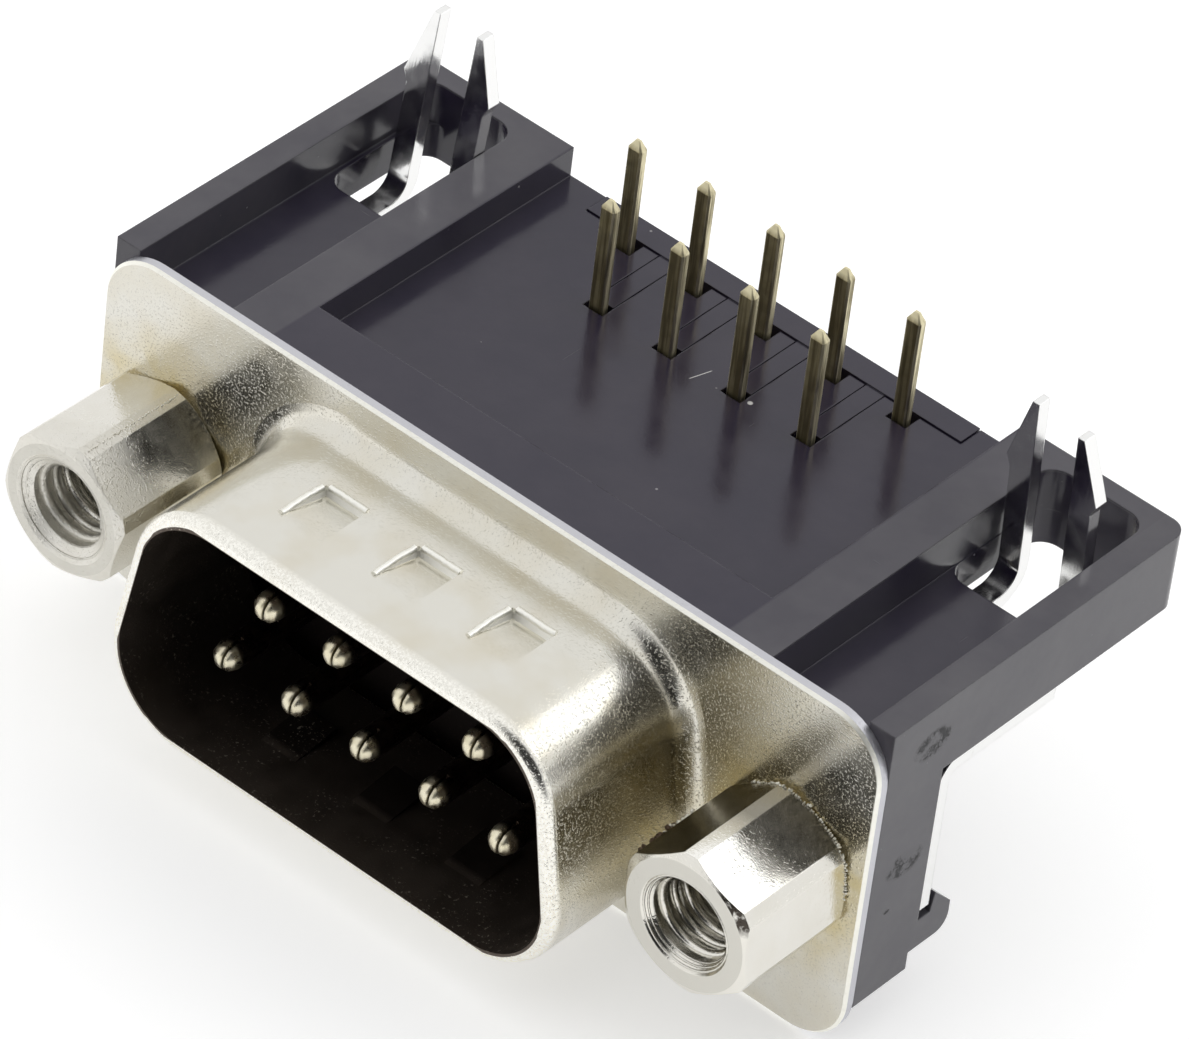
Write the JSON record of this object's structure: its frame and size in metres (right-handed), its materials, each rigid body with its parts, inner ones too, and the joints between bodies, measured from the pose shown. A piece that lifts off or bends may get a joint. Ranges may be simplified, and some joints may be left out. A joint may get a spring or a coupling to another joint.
{
  "type": "d-sub connector",
  "caption": "Right-angle board-mount D-subminiature plug with a drawn metal shell, slit pins, bent solder tails, hexagonal jackscrews and forked board locks, shown tail side up.",
  "frame": {"origin": "middle of the flange's front face, on the axis of the plug's mouth", "axes": "+X along the flange, -Y the way the plug mates, +Z towards the circuit board, the way the tails stand up in the picture"},
  "size_m": [0.0308, 0.0202, 0.0167],
  "materials": {
    "plated_shell": "satin warm nickel plate, fine grain",
    "plated_screw": "bright nickel plate",
    "tinned_bracket": "bright tin plate",
    "contact_metal": "satin brass with a thin gold flash",
    "housing_plastic": "glossy moulded",
    "comb_plastic": "glossy moulded",
    "insulator_plastic": "moulded, slightly dusty"
  },
  "bodies": {
    "root": {"shell": "plated_shell", "skirt": "plated_shell", "insulator": "insulator_plastic", "housing": "housing_plastic", "tail_comb": "comb_plastic", "pin_1": "contact_metal", "pin_2": "contact_metal", "pin_3": "contact_metal", "pin_4": "contact_metal", "pin_5": "contact_metal", "pin_6": "contact_metal", "pin_7": "contact_metal", "pin_8": "contact_metal", "pin_9": "contact_metal", "bracket_left": "tinned_bracket", "lock_left": "tinned_bracket", "bracket_right": "tinned_bracket", "lock_right": "tinned_bracket", "jackscrew_left": "plated_screw", "jackscrew_right": "plated_screw"}
  },
  "joints": []
}
